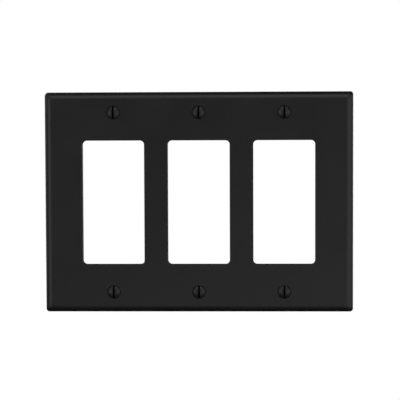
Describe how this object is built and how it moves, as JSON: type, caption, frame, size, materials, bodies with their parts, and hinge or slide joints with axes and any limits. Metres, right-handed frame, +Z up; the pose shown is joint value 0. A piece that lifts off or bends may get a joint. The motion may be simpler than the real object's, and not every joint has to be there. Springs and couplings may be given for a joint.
{
  "type": "wall plate cover",
  "caption": "Black moulded wall plate cover with tall rectangular device openings side by side and a slotted oval-head screw above and below each one.",
  "frame": {"origin": "centre of the plate on the wall plane, where its back rim rests", "axes": "+Z up, +X to the right as seen from the room, +Y into the wall; the face looks to -Y"},
  "size_m": [0.1666, 0.0136, 0.119],
  "materials": {
    "black_thermoplastic": "semi-matte moulded thermoplastic with a fine even grain",
    "black_painted_steel": "satin black paint on a steel head, zinc on the thread",
    "natural_nylon": "natural milky nylon, slightly waxy"
  },
  "bodies": {
    "plate": {"cover_plate": "black_thermoplastic"},
    "retainer_left_top": {"retainer_left_top": "natural_nylon"},
    "screw_left_top": {"screw_left_top": "black_painted_steel"},
    "retainer_left_bottom": {"retainer_left_bottom": "natural_nylon"},
    "screw_left_bottom": {"screw_left_bottom": "black_painted_steel"},
    "retainer_middle_top": {"retainer_middle_top": "natural_nylon"},
    "screw_middle_top": {"screw_middle_top": "black_painted_steel"},
    "retainer_middle_bottom": {"retainer_middle_bottom": "natural_nylon"},
    "screw_middle_bottom": {"screw_middle_bottom": "black_painted_steel"},
    "retainer_right_top": {"retainer_right_top": "natural_nylon"},
    "screw_right_top": {"screw_right_top": "black_painted_steel"},
    "retainer_right_bottom": {"retainer_right_bottom": "natural_nylon"},
    "screw_right_bottom": {"screw_right_bottom": "black_painted_steel"}
  },
  "joints": [
    {"name": "screw_left_top_travel", "type": "slide", "parent": "plate", "child": "retainer_left_top", "axis": [0, -1, 0], "range_m": [0, 0.00456]},
    {"name": "screw_left_top_turn", "type": "hinge", "parent": "retainer_left_top", "child": "screw_left_top", "pos_m": [-0.04604, 0, 0.04842], "axis": [0, -1, 0], "range_deg": [0, 2070]},
    {"name": "screw_left_bottom_travel", "type": "slide", "parent": "plate", "child": "retainer_left_bottom", "axis": [0, -1, 0], "range_m": [0, 0.00456]},
    {"name": "screw_left_bottom_turn", "type": "hinge", "parent": "retainer_left_bottom", "child": "screw_left_bottom", "pos_m": [-0.04604, 0, -0.04842], "axis": [0, -1, 0], "range_deg": [0, 2070]},
    {"name": "screw_middle_top_travel", "type": "slide", "parent": "plate", "child": "retainer_middle_top", "axis": [0, -1, 0], "range_m": [0, 0.00456]},
    {"name": "screw_middle_top_turn", "type": "hinge", "parent": "retainer_middle_top", "child": "screw_middle_top", "pos_m": [0, 0, 0.04842], "axis": [0, -1, 0], "range_deg": [0, 2070]},
    {"name": "screw_middle_bottom_travel", "type": "slide", "parent": "plate", "child": "retainer_middle_bottom", "axis": [0, -1, 0], "range_m": [0, 0.00456]},
    {"name": "screw_middle_bottom_turn", "type": "hinge", "parent": "retainer_middle_bottom", "child": "screw_middle_bottom", "pos_m": [0, 0, -0.04842], "axis": [0, -1, 0], "range_deg": [0, 2070]},
    {"name": "screw_right_top_travel", "type": "slide", "parent": "plate", "child": "retainer_right_top", "axis": [0, -1, 0], "range_m": [0, 0.00456]},
    {"name": "screw_right_top_turn", "type": "hinge", "parent": "retainer_right_top", "child": "screw_right_top", "pos_m": [0.04604, 0, 0.04842], "axis": [0, -1, 0], "range_deg": [0, 2070]},
    {"name": "screw_right_bottom_travel", "type": "slide", "parent": "plate", "child": "retainer_right_bottom", "axis": [0, -1, 0], "range_m": [0, 0.00456]},
    {"name": "screw_right_bottom_turn", "type": "hinge", "parent": "retainer_right_bottom", "child": "screw_right_bottom", "pos_m": [0.04604, 0, -0.04842], "axis": [0, -1, 0], "range_deg": [0, 2070]}
  ],
  "couplings": [
    {"joint": "screw_left_top_turn", "follows": "screw_left_top_travel", "rad_per_m": 7915.8},
    {"joint": "screw_left_bottom_turn", "follows": "screw_left_bottom_travel", "rad_per_m": 7915.8},
    {"joint": "screw_middle_top_turn", "follows": "screw_middle_top_travel", "rad_per_m": 7915.8},
    {"joint": "screw_middle_bottom_turn", "follows": "screw_middle_bottom_travel", "rad_per_m": 7915.8},
    {"joint": "screw_right_top_turn", "follows": "screw_right_top_travel", "rad_per_m": 7915.8},
    {"joint": "screw_right_bottom_turn", "follows": "screw_right_bottom_travel", "rad_per_m": 7915.8}
  ]
}
